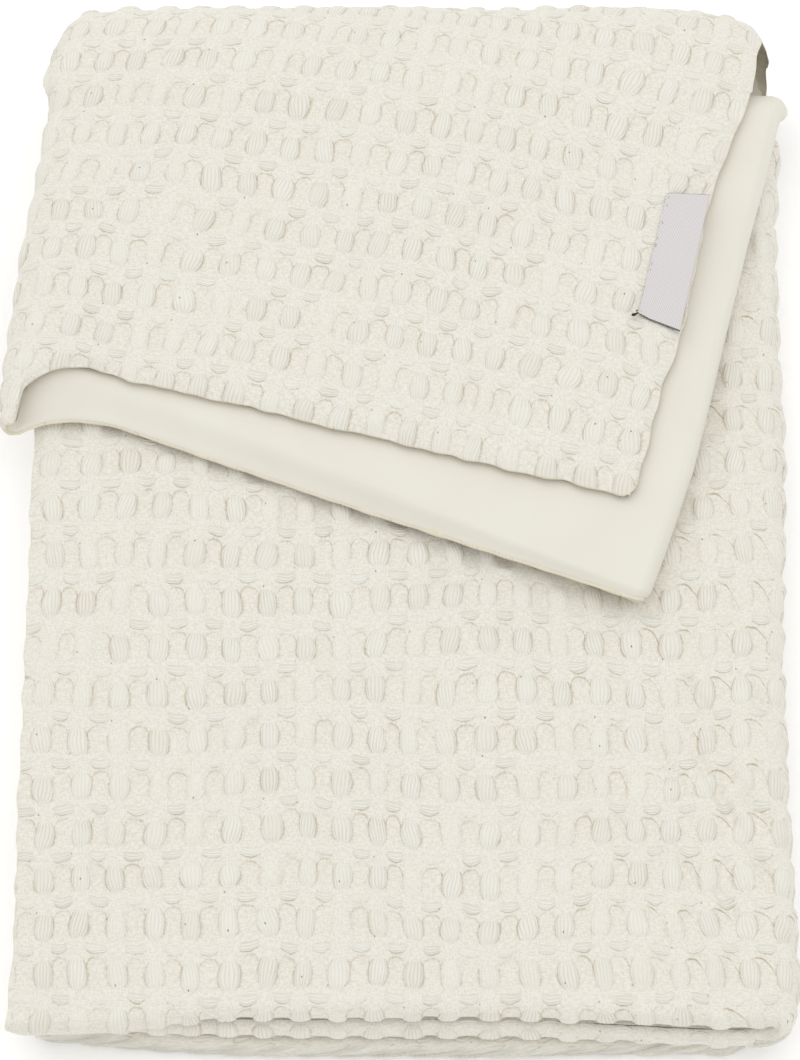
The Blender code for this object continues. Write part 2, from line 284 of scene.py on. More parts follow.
def flap(ply, across, share, offset):
    """The end that lies on the pile, down to its slanting hem."""
    x, right = turned_x(ply, FLAP_SIDES, share, share, across)
    hem_y = hem_line(ply, x)
    y = TURN_START[ply] + (hem_y - TURN_START[ply]) * share
    if ply == 2:
        in_x = np.clip(1 - (right - x) / OUTER_CORNER, 0, 1)
        in_y = np.clip(1 - (y - hem_y) / OUTER_CORNER, 0, 1)
        x = x - OUTER_CORNER * in_x * (1 - np.sqrt(1 - in_y**2 / 2))
        y = y + OUTER_CORNER * in_y * (1 - np.sqrt(1 - in_x**2 / 2))
    z = FLAP_Z[ply] - DROOP * share * (np.clip(DROOP_FROM - x, 0, None) / DROOP_WIDTH) ** 2
    if ply == 1:
        bare = hem_line(0, x) - hem_y
        past = np.clip(1 - (y - hem_y) / np.maximum(bare, 1 * MM), 0, 1)
        z = z - SAG * np.clip(bare / SAG_FULL, 0, 1) * past * past * (3 - 2 * past)
    return x, y, z + offset * UP[ply]


middle = turn(2, 0.5, 0.5, 0.0)
print("the outer turn at its middle, mm:", [round(float(v) / MM, 1) for v in middle])


# %% The whole cloth: plies, side folds and creases
def ply_points(ply, across, along, offset):
    """Places on one ply, from arrays of one shape."""
    short_leg, long_leg = (functools.partial(leg, short=short) for short in (True, False))
    points = np.zeros(across.shape + (3,))
    part = np.clip(along.astype(int), 0, 4)
    for index, stretch in enumerate((short_leg, near_fold, long_leg, turn, flap)):
        here = part == index
        if here.any():
            xyz = stretch(ply, across[here], along[here] - index, offset[here])
            points[here] = np.stack(xyz, axis=-1)
    return points


def side_fold_points(ply, share, along, offset):
    """Round the side fold that joins a ply to the next one."""
    side = np.full(along.shape, 1.0 if ply == 0 else 0.0)
    here, there = (ply_points(p, side, along, offset) for p in (ply, ply + 1))
    seam, next_seam = (ply_points(p, side, along, 0 * offset) for p in (ply, ply + 1))
    middle, arm = (here + there) / 2, (here - there) / 2
    slack = np.maximum(np.linalg.norm(seam - next_seam, axis=-1) / 2 - SIDE_FOLD_BULGE, 0)
    out = np.zeros_like(arm)
    out[..., 0] = (2 * side - 1) * (np.linalg.norm(arm, axis=-1) - slack)
    angle = np.pi * share[..., None]
    return middle + np.cos(angle) * arm + np.sin(angle) * out


def cloth_points(across, along, offset):
    """Places on the folded cloth, from arrays of one shape."""
    points = np.zeros(across.shape + (3,))
    section = np.clip(across.astype(int), 0, 4)
    for index in range(5):
        here = section == index
        if not here.any():
            continue
        share, ply = across[here] - index, index // 2
        if index in (1, 3):
            points[here] = side_fold_points(ply, share, along[here], offset[here])
        else:
            way = 1 - share if ply == 1 else share
            points[here] = ply_points(ply, way, along[here], offset[here])
    points[..., 2] += crease_lift(points) * np.clip(points[..., 2] / FLAP_Z[2], 0, 1) ** 2
    return points - PLAN_CENTRE


corner = cloth_points(np.array([5.0]), np.array([4.99]), np.array([WAFFLE_REACH]))[0]
print("the flap's free corner, mm:", (corner / MM).round(1))

# %% [markdown]
# ## The waffle's cells
# Waffle weave is a grid of sunk pockets. Between them lie groups of loose yarns: upright ovals at a
# pocket's left and right, and short level groups above and below it. Where these ridges cross, the
# cloth is plain and flat. The cotton shrinks unevenly in the wash, so no two cells are alike.
#
# Over 400 cells could be modelled one by one. A height function of the place on the cloth is
# simpler, and it bends with the folds. Finer yarns come from the material's bump.

# %% Soft noise
TABLE = 97  # side of a table of random numbers, which is more than the cells either way


def random_table(seed):
    """Random numbers from 0 to 1, always the same for a seed."""
    return np.random.default_rng(seed).random((TABLE, TABLE))


def soft_noise(u, v, seed):
    """Smooth noise from -1 to 1 with about one bump for each unit of u and v."""
    table = random_table(seed)
    i, j = np.floor(u).astype(int), np.floor(v).astype(int)
    fu, fv = u - i, v - j
    fu, fv = fu * fu * (3 - 2 * fu), fv * fv * (3 - 2 * fv)
    corners = [table[(i + a) % TABLE, (j + b) % TABLE] for a in (0, 1) for b in (0, 1)]
    near = corners[0] + (corners[1] - corners[0]) * fv
    far = corners[2] + (corners[3] - corners[2]) * fv
    return 2 * (near + (far - near) * fu) - 1


def noises(u, v, layers):
    """A sum of soft noises. A layer is its height, its bumps for each unit of u and v, its seed."""
    return sum(height * soft_noise(u * du, v * dv, seed) for height, du, dv, seed in layers)


def each_cell(i, j, seed, low, high):
    """One random number for each cell."""
    return low + (high - low) * random_table(seed)[i % TABLE, j % TABLE]


print("noise at one place:", soft_noise(np.array([0.5]), np.array([0.5]), 3).round(3))

# %% Height of one cell
POCKET_DEPTH, POCKET_FLOOR = 0.95 * MM, (0.25, 0.34)  # half width and half height, in cells
OVAL_HEIGHT, LEVEL_HEIGHT = 0.85 * MM, 0.6 * MM
ROW_HEIGHT = 0.15 * MM  # each row of level groups is a low ridge
SINK = 0.45 * MM  # the relief's middle lies this far under the CAD model's face
OVAL, OVAL_PINCH = (0.27, 0.31), 0.3  # half sizes in cells, and how wide it still is at its ends
LEVEL, LEVEL_PINCH = (0.28, 0.10), 0.5
LEVEL_BOW = 0.055  # how far the ends of a level group curve up, in cells
OVALS_VARY, LEVELS_VARY, POCKETS_VARY = (11, 0.45, 1.15), (12, 0.3, 1.15), (13, 0.3, 1.2)
PUCKER = ((0.35 * MM, 0.35, 0.42, 14), (0.16 * MM, 1.3, 1.4, 15))


def lens(across, along, half, pinch):
    """A group of loose yarns, pinched at both ends. across runs over the yarns."""
    length = np.maximum(0, 1 - (along / half[1]) ** 2)
    width = half[0] * (pinch + (1 - pinch) * length**0.6)
    return np.maximum(0, 1 - (across / width) ** 2) ** 0.6 * length**1.1


def cell_height(u, v):
    """Height of the relief at a place in cells. An oval's middle is at whole numbers."""
    i, j = np.round(u).astype(int), np.round(v).astype(int)
    a, b = np.floor(u).astype(int), np.floor(v).astype(int)
    side, up = u - a - 0.5, v - b - 0.5
    bow = LEVEL_BOW * (side / LEVEL[0]) ** 2
    oval = lens(u - i, v - j, OVAL, OVAL_PINCH) * each_cell(i, j, *OVALS_VARY)
    level = lens(up - bow, side, LEVEL[::-1], LEVEL_PINCH) * each_cell(a, b, *LEVELS_VARY)
    pocket = np.exp(-((side / POCKET_FLOOR[0]) ** 6) - ((v - j) / POCKET_FLOOR[1]) ** 6)
    pocket = pocket * each_cell(a, j, *POCKETS_VARY)
    row = 0.5 + 0.5 * np.cos(2 * np.pi * (v - 0.5))
    raised = OVAL_HEIGHT * oval + LEVEL_HEIGHT * level + ROW_HEIGHT * row
    return raised - POCKET_DEPTH * pocket + noises(u, v, PUCKER) - SINK


print("height of an oval's top and a pocket's floor, mm:", end=" ")
print((cell_height(np.array([4.0, 4.5]), np.array([6.0, 6.0])) / MM).round(2))

# %% Where the cells lie on the pile and on the flap
BODY_CELL = (11.93 * MM, 17.2 * MM)
BODY_OVAL = (-103.0 * MM, -64.3 * MM)  # the middle of one oval, in the plan
FLAP_CELL = (12.2 * MM, 18.0 * MM)
FLAP_OVAL = (5.1 * MM, 7.9 * MM)
COLUMN_SLANT, SLANT_FROM = 0.20, 100 * MM  # the flap's columns lean like its right hem
ROW_SLOPE = 0.29  # the flap's rows run square to that hem, and level out towards the far left
ROW_EASE = 1.05  # how much they level out, per metre
EASE_FROM, EASE_LENGTH = (50 * MM, 20 * MM), 153 * MM
PULL_U = ((0.085, 0.9, 1.1, 3), (0.16, 0.27, 0.31, 4))  # how a wash pulls the cells about
PULL_V = ((0.070, 1.0, 0.9, 5), (0.13, 0.23, 0.35, 6))


def uneven(u, v):
    """The cell grid, pulled about as a washed cloth's is."""
    return u + noises(u, v, PULL_U), v + noises(u, v, PULL_V)


def body_cells(x, y):
    """The place in cells of a place on the pile."""
    u, v = (x - BODY_OVAL[0]) / BODY_CELL[0], (y - BODY_OVAL[1]) / BODY_CELL[1]
    return uneven(u + 20, v + 30)


def flap_cells(x, y):
    """The place in cells of a place on the flap."""
    far = np.clip((y - EASE_FROM[1]) / EASE_LENGTH, 0, 1.1)
    ease = far * ROW_EASE * np.clip(EASE_FROM[0] - x, 0, None) ** 2
    u = (x - FLAP_OVAL[0] - COLUMN_SLANT * (y - SLANT_FROM)) / FLAP_CELL[0]
    v = (y - FLAP_OVAL[1] + ROW_SLOPE * x + ease) / FLAP_CELL[1]
    return uneven(u + 60, v + 60)


print("cells in 75 x 100 cm:", round(0.75 / BODY_CELL[0] * 1.0 / BODY_CELL[1]))

# %% [markdown]
# ## The waffle cloth
# One cut of 75 x 100 cm needs more faces than a piece should have. So five pieces meet inside the
# folds: the top of the pile, the plies under it, the long leg under those, the flap's upper ply and
# its inner plies. What shows has grid steps under a millimetre.
#
# A hem is not a cut edge: the cloth turns round the lining's edge. The last grid lines of each free
# side go round that small bend and back under the lining, so the sheet shows no bare border.


# %% A sheet from a flat grid
def flat_grid(name, columns, rows):
    """Blender's own grid with that many vertices, and each vertex's column and row."""
    bpy.ops.object.select_all(action="DESELECT")
    bpy.ops.mesh.primitive_grid_add(x_subdivisions=columns - 1, y_subdivisions=rows - 1, size=1)
    sheet = bpy.context.object
    sheet.name = sheet.data.name = name
    co = np.empty(len(sheet.data.vertices) * 3)
    sheet.data.vertices.foreach_get("co", co)
    co = co.reshape(-1, 3)
    column = np.rint((co[:, 0] + 0.5) * (columns - 1)).astype(int)
    row = np.rint((co[:, 1] + 0.5) * (rows - 1)).astype(int)
    return sheet, column, row


def mesh_places(stretches, detail=1.0):
    """Places along stretches of (start, end, number of steps), and the last one's end."""
    places = [
        np.linspace(start, end, max(4, int(round(steps * detail))), endpoint=False)
        for start, end, steps in stretches
    ]
    return np.append(np.concatenate(places), stretches[-1][1])


def made_sheet(name, points, behind, u, v):
    """A sheet at the points of a grid, its faces away from behind, with u and v as its UV map."""
    sheet, column, row = flat_grid(name, points.shape[1], points.shape[0])
    sheet.data.vertices.foreach_set("co", points[row, column].reshape(-1))
    loops = np.empty(len(sheet.data.loops), dtype=int)
    sheet.data.loops.foreach_get("vertex_index", loops)
    layer = sheet.data.uv_layers[0] if sheet.data.uv_layers else sheet.data.uv_layers.new()
    layer.name = "weave"
    cell = np.stack([u[row, column], v[row, column]], axis=-1)
    layer.data.foreach_set("uv", cell[loops].reshape(-1))
    sheet.data.shade_smooth()
    sheet.data.update()
    polygon = sheet.data.polygons[len(sheet.data.polygons) // 2]
    corner = polygon.vertices[0]
    if np.array(polygon.normal) @ (points - behind)[row[corner], column[corner]] < 0:
        sheet.data.flip_normals()
    print(name, "triangles:", 2 * len(sheet.data.polygons))
    return sheet, column, row


# %% Hems
HEM_STEPS = 5
HEM_BULGE = 0.9 * MM  # how far the turned hem stands out
HEM_TUCK = 5 * MM  # how far the turned cloth runs back, under the lining's edge
HEM_MARGIN = 5 * MM  # the cloth is pressed thinner and smoother over this width
HEM_FACE, HEM_BACK = 0.8 * MM, -0.6 * MM  # offsets of the pressed hem's two sides
HEM_RELIEF = 0.35  # the share of the relief that a pressed hem keeps
HEM_BUMP, SIDE_BUMP = 0.3 * MM, 0.6 * MM  # the ovals stand out along hems and side folds
HEM_WOBBLE = ((0.4 * MM, 2.2, 2.2, 31), (0.48 * MM, 0.9, 0.9, 32))
PLY_SIZE = (230 * MM, 170 * MM)  # about one unit of across and of along


def with_hems(places, first, last):
    """Adds the steps round a hem before the first place or after the last. Gives the places, the
    cosine of the angle round the hem, and how far each step lies past its place, in metres."""
    angle = np.linspace(0, np.pi, HEM_STEPS + 1)[1:]
    round_hem = np.append(np.cos(angle), -1)
    past = np.append(np.sin(angle) * HEM_BULGE, -HEM_TUCK)
    size = len(past)
    before, after = size * bool(first), size * bool(last)
    places = np.pad(places, (before, after), "edge")
    turned, out = np.ones(len(places)), np.zeros(len(places))
    if first:
        turned[:size], out[:size] = round_hem[::-1], -past[::-1]
    if last:
        turned[-size:], out[-size:] = round_hem, past
    return places, turned, out


def near_hems(x, y, hems):
    """0 on a hem and 1 from a margin inwards. hems are the left, right, start and end side."""
    lines = (x - x[:, :1], x - x[:, -1:], y - y[:1], y - y[-1:])
    near = [np.abs(line) / HEM_MARGIN for line, is_hem in zip(lines, hems) if is_hem]
    return np.clip(np.minimum.reduce(near), 0, 1)


print("steps round a hem:", len(with_hems(np.zeros(1), True, False)[0]) - 1)


# %% A piece of waffle cloth
DETAIL = 1.0


def unrolled(points, rows, columns):
    """x and y of a sheet as if its bends were opened flat. It is flat within rows and columns."""
    x, y = (points + PLAN_CENTRE)[..., 0], (points + PLAN_CENTRE)[..., 1]
    for r in range(rows[0] - 1, -1, -1):
        y[r] = y[r + 1] + np.linalg.norm(points[r] - points[r + 1], axis=-1)
        x[r] = x[r + 1] * 0.5 + x[r] * 0.5
    for r in range(rows[1] + 1, len(points)):
        y[r] = y[r - 1] - np.linalg.norm(points[r] - points[r - 1], axis=-1)
    for c in range(columns[0] - 1, -1, -1):
        x[:, c] = x[:, c + 1] - np.linalg.norm(points[:, c] - points[:, c + 1], axis=-1)
        y[:, c] = y[:, c + 1]
    for c in range(columns[1] + 1, points.shape[1]):
        x[:, c] = x[:, c - 1] + np.linalg.norm(points[:, c] - points[:, c - 1], axis=-1)
        y[:, c] = y[:, c - 1]
    return x, y


def waffle_piece(name, across, along, cells, flat_at, hems, relief=1.0):
    """across and along are stretches of mesh steps. The piece lies flat in one unit of across and
    of along, which start at flat_at."""
    s, turned_s, out_s = with_hems(mesh_places(across, DETAIL), hems[0], hems[1])
    t, turned_t, out_t = with_hems(mesh_places(along, DETAIL), hems[2], hems[3])
    grid_s, grid_t = np.meshgrid(s, t)
    columns, rows = (
        np.flatnonzero((places >= start) & (places <= start + 1))[[0, -1]]
        for places, start in ((s, flat_at[0]), (t, flat_at[1]))
    )
    smooth = cloth_points(grid_s, grid_t, np.full(grid_s.shape, WAFFLE_REACH))
    x, y = unrolled(smooth, rows, columns)
    u, v = cells(x, y)

    # the relief is lower on a hem, and ends where the cloth has turned round it
    inner = near_hems(x, y, hems)
    turned = np.minimum(turned_s[None, :], turned_t[:, None])
    facing = (turned + 1) / 2
    in_side_fold = np.sin(np.pi * (grid_s % 1)) * (np.floor(grid_s) % 2)
    side_bump = relief * SIDE_BUMP * np.cos(2 * np.pi * (v - 0.25)) * in_side_fold
    rough = cell_height(u, v) * relief * (HEM_RELIEF + (1 - HEM_RELIEF) * inner) + side_bump
    face = HEM_FACE + (WAFFLE_REACH - HEM_FACE) * inner * (2 - inner)
    offset = HEM_BACK + (face - HEM_BACK + rough) * facing

    # a hem bulges a little beside each oval, and wavers
    bulge = relief * HEM_BUMP * (1 - inner) ** 2
    past_s = out_s[None, :] + np.sign(grid_s - s.mean()) * bulge * np.cos(2 * np.pi * v)
    past_t = out_t[:, None] + np.sign(grid_t - t.mean()) * bulge * np.cos(2 * np.pi * u)
    points = cloth_points(grid_s + past_s / PLY_SIZE[0], grid_t + past_t / PLY_SIZE[1], offset)
    points[..., :2] += (relief * (1 - inner) * noises(u, v, HEM_WOBBLE))[..., None]

    behind = cloth_points(grid_s, grid_t, offset - 1 * MM)
    sheet, column, row = made_sheet(name, points, behind, u, v)
    hem = sheet.data.attributes.new("hem", "FLOAT", "POINT")
    hem.data.foreach_set("value", np.clip(1 - turned[row, column], 0, 1))
    return sheet


# %% The five pieces of waffle cloth
waffle_pile_top = waffle_piece(
    "waffle_pile_top",
    across=[(0, 1, 285), (1, 2, 26)],
    along=[(0, 0.36, 60), (0.36, 1, 225), (1, 2, 18)],
    cells=body_cells,
    flat_at=(0, 0),
    hems=(True, False, False, False),
)
waffle_flap_top = waffle_piece(
    "waffle_flap_top",
    across=[(3, 4, 20), (4, 5, 268)],
    along=[(3, 4, 90), (4, 5, 214)],
    cells=flap_cells,
    flat_at=(4, 4),
    hems=(False, True, False, True),
)
waffle_flap_inner = waffle_piece(
    "waffle_flap_inner",
    across=[(0, 1, 80), (1, 2, 10), (2, 3, 180)],
    along=[(3, 4, 24), (4, 5, 110)],
    cells=flap_cells,
    flat_at=(0, 4),
    hems=(True, False, False, True),
    relief=0.3,
)
waffle_pile_inner = waffle_piece(
    "waffle_pile_inner",
    across=[(2, 3, 150), (3, 4, 10), (4, 5, 150)],
    along=[(0, 0.9, 40), (0.9, 1, 20), (1, 2, 26)],
    cells=body_cells,
    flat_at=(2, 0),
    hems=(False, True, False, False),
    relief=0.75,
)
waffle_long_leg = waffle_piece(
    "waffle_long_leg",
    across=[(0, 1, 90), (1, 2, 8), (2, 3, 60), (3, 4, 22), (4, 5, 100)],
    along=[(2, 3, 150)],
    cells=body_cells,
    flat_at=(4, 2),
    hems=(True, True, False, False),
    relief=0.35,
)

# %% [markdown]
# ## The lining
# The lining is a plain, smooth cotton against the waffle cloth. It shows on the flap's second ply
# and inside the folds. As a thickness of the waffle cloth it would carry the waffle's relief. A
# grid of its own along the same folds stays smooth.

# %% The lining
LINING_CUT = (250 * MM, 200 * MM)  # one unit of across and of along, laid flat
LINING_EDGE = 0.012  # the lining runs into the hem over this share of a unit
EDGE_REACH = 0.52  # the share of its distance from the seam that is left there
LINING_WAVE = ((0.16 * MM, 1 / (22 * MM), 1 / (26 * MM), 41),)


def lining_piece(name, across, along):
    """The lining as one sheet. Its edges lie nearer to the seam, inside the waffle cloth's hem."""
    grid_s, grid_t = np.meshgrid(mesh_places(across), mesh_places(along))
    u, v = grid_s * LINING_CUT[0], grid_t * LINING_CUT[1]
    from_edge = np.minimum.reduce([grid_s, 5 - grid_s, grid_t, 5 - grid_t])
    inner = np.clip(from_edge / LINING_EDGE, 0, 1)
    reach = LINING_REACH * (EDGE_REACH + (1 - EDGE_REACH) * np.sqrt(inner))
    offset = noises(u, v, LINING_WAVE) * inner - reach
    points, behind = (cloth_points(grid_s, grid_t, offset + lift) for lift in (0, 1 * MM))
    return made_sheet(name, points, behind, u, v)[0]


lining_sheet = lining_piece(
    "lining_sheet",
    across=[(0, 0.03, 4), (0.03, 1, 40), (1, 2, 12), (2, 3, 70), (3, 4, 12)]
    + [(4, 4.97, 60), (4.97, 5, 4)],
    along=[(0, 0.03, 4), (0.03, 0.9, 24), (0.9, 1, 6), (1, 2, 12), (2, 2.1, 6), (2.1, 3, 24)]
    + [(3, 4, 24), (4, 4.97, 90), (4.97, 5, 6)],
)

# %% [markdown]
# ## The label
# A short, bare strip of woven satin, folded in a loop and sewn down along its left side, with its
# fold at the hem. It was sewn on by hand, so it is a little askew. A solidified plane would have
# square edges, so the strip is one grid that goes out, round the fold and back.

# %% The label
LABEL_CORNERS = np.array([(90.3, 119.2), (104.8, 118.4), (79.6, 70.6), (93.5, 64.3)]) * MM
LABEL_WIDTH, LABEL_LENGTH = 15 * MM, 52 * MM
LABEL_LEAF = 0.4 * MM  # half the loop's thickness
LABEL_BASE = FLAP_Z[2] + WAFFLE_REACH + 0.1 * MM
LABEL_WAVE, WAVE_LENGTHS = 0.15 * MM, (5 * MM, 9 * MM)
PULLED_IN, PULLED_AREA = 0.9 * MM, (4 * MM, 6 * MM)  # the near end of its seam is pulled in
SEWN_WIDTH, SEWN_PRESS = 2 * MM, 0.8  # and the seam presses its leaves together


def label_plan(x, y):
    """From shares of the label, left to right and near to far, to the blanket's frame."""
    far_left, far_right, near_left, near_right = LABEL_CORNERS
    far = far_left + (far_right - far_left) * x[..., None]
    near = near_left + (near_right - near_left) * x[..., None]
    plan = near + (far - near) * y[..., None] - PLAN_CENTRE[:2]
    return plan[..., 0], plan[..., 1]


def make_label():
    """The loop: its upper leaf, the fold at the hem and its lower leaf, as one grid."""
    bend_at = LABEL_WIDTH - LABEL_LEAF
    angle = np.linspace(0, np.pi, 9)[1:-1]
    flat = np.linspace(0, bend_at, 24)
    x = np.concatenate([flat, bend_at + LABEL_LEAF * np.sin(angle), flat[::-1]])
    z = np.concatenate([0 * flat + 1, np.cos(angle), 0 * flat - 1]) * LABEL_LEAF
    y = np.linspace(LABEL_LENGTH, 0, 80)
    grid_x, grid_y = np.meshgrid(x, y)
    grid_z = np.meshgrid(z, y)[0]
    px, py = label_plan(grid_x / LABEL_WIDTH, grid_y / LABEL_LENGTH)
    near_end = np.clip(1 - grid_y / PULLED_AREA[1], 0, 1) ** 2
    py = py + PULLED_IN * near_end * np.clip(1 - grid_x / PULLED_AREA[0], 0, 1)
    wave = LABEL_WAVE * np.sin(grid_y / WAVE_LENGTHS[1]) * np.sin(grid_x / WAVE_LENGTHS[0])
    sewn_down = np.clip(1 - grid_x / SEWN_WIDTH, 0, 1) * (LABEL_LEAF + grid_z) * SEWN_PRESS
    pz = LABEL_BASE + LABEL_LEAF + grid_z + wave - sewn_down
    points = np.stack([px, py, pz], axis=-1)
    behind = points.copy()
    behind[..., 2] -= np.where(grid_z > 0, 1, -1) * 1 * MM
    run = np.concatenate([[0], np.cumsum(np.hypot(np.diff(x), np.diff(z)))])
    u, v = np.meshgrid(run, y)
    print("flat length of the label's loop, mm:", round(run[-1] / MM, 1))
    return made_sheet("woven_label", points, behind, u, v)[0]


woven_label = make_label()

# %% [markdown]
# ## The stitches and the thread end
# Small stitches hold the label's left side, and a short black thread end is left at its near
# corner. A curve with a round bevel would do for thread. These lengths are so short that stretched
# spheres look the same.

# %% Stitches along the label's left side, and the thread end at its near corner
STITCHES = 15
STITCH = (1.5 * MM, 0.4 * MM, 0.3 * MM)
THREAD_END = (  # x and y from the corner, length and thickness, in mm, and the turn in degrees
    (-1.4, -0.1, 1.7, 1.1, 10),
    (-0.6, 0.3, 1.8, 0.7, 30),
    (-0.35, 1.5, 0.9, 0.5, 60),
)


def thread_pieces(name, places, sizes, turns):
    """Short lengths of thread, each a stretched sphere, joined to one piece."""
    made = []
    for place, size, turn in zip(places, sizes, turns):
        bpy.ops.object.select_all(action="DESELECT")
        bpy.ops.mesh.primitive_uv_sphere_add(segments=10, ring_count=8, radius=0.5, location=place)
        bpy.context.object.scale = size
        bpy.context.object.rotation_euler = (0, 0, turn)
        made.append(bpy.context.object)
    for piece in made:
        piece.select_set(True)
    bpy.context.view_layer.objects.active = made[0]
    bpy.ops.object.join()
    thread = bpy.context.object
    bpy.ops.object.transform_apply(location=True, rotation=True, scale=True)
    thread.name = thread.data.name = name
    thread.data.shade_smooth()
    print(name, "of", len(made), "lengths")
    return thread


uneven_sewing = np.random.default_rng(7)
stitch_share = np.arange(STITCHES) + 0.5 + uneven_sewing.uniform(-0.2, 0.2, STITCHES)
stitch_x, stitch_y = label_plan(
    uneven_sewing.uniform(0.02, 0.10, STITCHES), stitch_share / STITCHES
)
stitch_z = LABEL_BASE + uneven_sewing.uniform(0.2, 0.5, STITCHES) * MM
sew_angle = math.atan2(stitch_y[-1] - stitch_y[0], stitch_x[-1] - stitch_x[0])
label_stitches = thread_pieces(
    "label_stitches",
    list(zip(stitch_x, stitch_y, stitch_z)),
    [STITCH] * STITCHES,
    sew_angle + uneven_sewing.uniform(-0.2, 0.2, STITCHES),
)
corner_x, corner_y = (float(v[0]) for v in label_plan(np.zeros(1), np.zeros(1)))
thread_end = thread_pieces(
    "thread_end",
    [(corner_x + x * MM, corner_y + y * MM, LABEL_BASE + 0.9 * MM) for x, y, *_ in THREAD_END],
    [(long * MM, thick * MM, thick * MM) for _, _, long, thick, _ in THREAD_END],
    [math.radians(row[-1]) for row in THREAD_END],
)

# %% [markdown]
# ## Materials
# Each starts from what the real cloth is. Colours are sRGB hex values that one function turns to
# linear. Another one adds a node with its settings and links.


# %% Colours and nodes
def linear(code):
    """An sRGB hex colour as linear red, green, blue and alpha."""
    values = [int(code[i : i + 2], 16) / 255 for i in (1, 3, 5)]
    return tuple(
        v / 12.92 if v <= 0.04045 else ((v + 0.055) / 1.055) ** 2.4 for v in values
    ) + (1.0,)


def add(tree, kind, *inputs, named=None, output=0, **settings):
    """Adds a node and returns an output. Its inputs are other nodes' outputs or fixed values."""
    node = tree.nodes.new(kind)
    for key, value in settings.items():
        setattr(node, key, value)
    for key, value in list(enumerate(inputs)) + list((named or {}).items()):
        if isinstance(value, bpy.types.NodeSocket):
            tree.links.new(value, node.inputs[key])
        else:
            node.inputs[key].default_value = value
    return node.outputs[output]


def new_material(name, roughness, sheen):
    """A cloth's shader, with fixed values, and the function that adds nodes to it."""
    material = bpy.data.materials.new(name)
    material.use_nodes = True
    tree = material.node_tree
    shader = tree.nodes["Principled BSDF"]
    shader.inputs["Roughness"].default_value = roughness
    shader.inputs["Specular IOR Level"].default_value = 0.25
    shader.inputs["Sheen Weight"].default_value = sheen
    shader.inputs["Sheen Roughness"].default_value = 0.5
    return material, shader, functools.partial(add, tree)


def join(shader, height, strength, distance, colour=None):
    """Links a height as bump, and a colour, to a shader."""
    tree = shader.id_data
    bump = {"Height": height, "Strength": strength, "Distance": distance}
    tree.links.new(add(tree, "ShaderNodeBump", named=bump), shader.inputs["Normal"])
    if colour:
        tree.links.new(colour, shader.inputs["Base Color"])


def put_on(material, *objects):
    for piece in objects:
        piece.data.materials.clear()
        piece.data.materials.append(material)
        print(material.name, "on", piece.name)


MATH, VECTOR, RANGE, NOISE, MIX, SPLIT = (
    "ShaderNode" + kind
    for kind in ("Math", "VectorMath", "MapRange", "TexNoise", "Mix", "SeparateXYZ")
)
TIMES, PLUS, MINUS, DIVIDED, LARGER, TIMES_PLUS, SIZE = (
    dict(operation=name)
    for name in ("MULTIPLY", "ADD", "SUBTRACT", "DIVIDE", "MAXIMUM", "MULTIPLY_ADD", "ABSOLUTE")
)
CLAMPED_MINUS = dict(operation="SUBTRACT", use_clamp=True)
print("undyed cotton, linear:", [round(v, 3) for v in linear("#E9E6DC")])

# %% [markdown]
# ## Undyed waffle weave cotton
# Loosely spun cotton is matt, with a soft fuzz, and undyed it is a warm white with brown specks of
# seed. A picture of cloth wouldn't follow the mesh. Nodes draw the weave from the mesh's own cells,
# so each group of yarns lies on its raised oval.
#
# Little light reaches the gaps between yarns, the cloth beside a loose group and a pocket's edge,
# and what does is warmer. That shade is painted into the colour, as one number, `shade`, between
# two
# colours of the cotton. The loose groups stand up into the light, so less shade is painted on them:
# painted light.

# %% Sizes of the drawn weave
OVAL_YARNS, LEVEL_YARNS = 5, 3
POCKET = (0.25, 0.33)  # half width and half height of a pocket's edge, in cells
WANDER = 0.11  # how far the yarns wander, in cells
LEAN = 0.35  # how far the yarns of a group may slant
THREAD_MM, LENGTHWISE_MM = 0.55, (1.6, 1.8)  # width and length of the ground's threads
BODY_CELL_MM = (BODY_CELL[0] / MM, BODY_CELL[1] / MM)
print("threads in a cell:", round(BODY_CELL_MM[0] / THREAD_MM))


# %% One group of loose yarns
def in_cell(node, place):
    """Place within a cell, from -0.5 to 0.5, and three random numbers for each cell."""
    whole = node(VECTOR, place, operation="FLOOR")
    part = node(VECTOR, node(VECTOR, place, whole, **MINUS), (0.5, 0.5, 0.0), **MINUS)
    x, y, _ = node(SPLIT, part).node.outputs
    colour = node("ShaderNodeTexWhiteNoise", whole, noise_dimensions="3D", output=1)
    return x, y, node("ShaderNodeSeparateColor", colour).node.outputs


def yarn_group(node, across, along, half, pinch, yarns, chance):
    """Loose yarns side by side, pinched at both ends as lens has them: their height, where they
    are, a thin ring beside them where shade is painted, and the place across them."""
    place = node(MATH, along, half[1], **DIVIDED)
    room = node(MATH, 1.0, node(MATH, place, place, **TIMES), **CLAMPED_MINUS)
    swell = node(MATH, room, 0.6, operation="POWER")
    width = node(MATH, swell, (1 - pinch) * half[0], pinch * half[0], **TIMES_PLUS)
    beside = node(MATH, across, width, **DIVIDED)
    lean = node(RANGE, chance[0], 0.0, 1.0, -LEAN, LEAN)
    slanted = node(MATH, place, lean, beside, **TIMES_PLUS)
    turns = node(MATH, slanted, math.pi / 2 * yarns, **TIMES)
    yarn = node(MATH, node(MATH, turns, operation="SINE"), **SIZE)
    edge = node(MATH, beside, **SIZE)
    strength = node(RANGE, chance[2], 0.0, 0.45, 0.25, 1.0)
    ends = node(MATH, node(RANGE, room, 0.05, 0.5, 0.0, 1.0), strength, **TIMES)
    inside, around = (
        node(MATH, node(RANGE, edge, outer, inner, 0.0, 1.0), ends, **TIMES)
        for outer, inner in ((1.05, 0.9), (1.28, 1.03))
    )
    return yarn, inside, node(MATH, around, inside, **CLAMPED_MINUS), beside


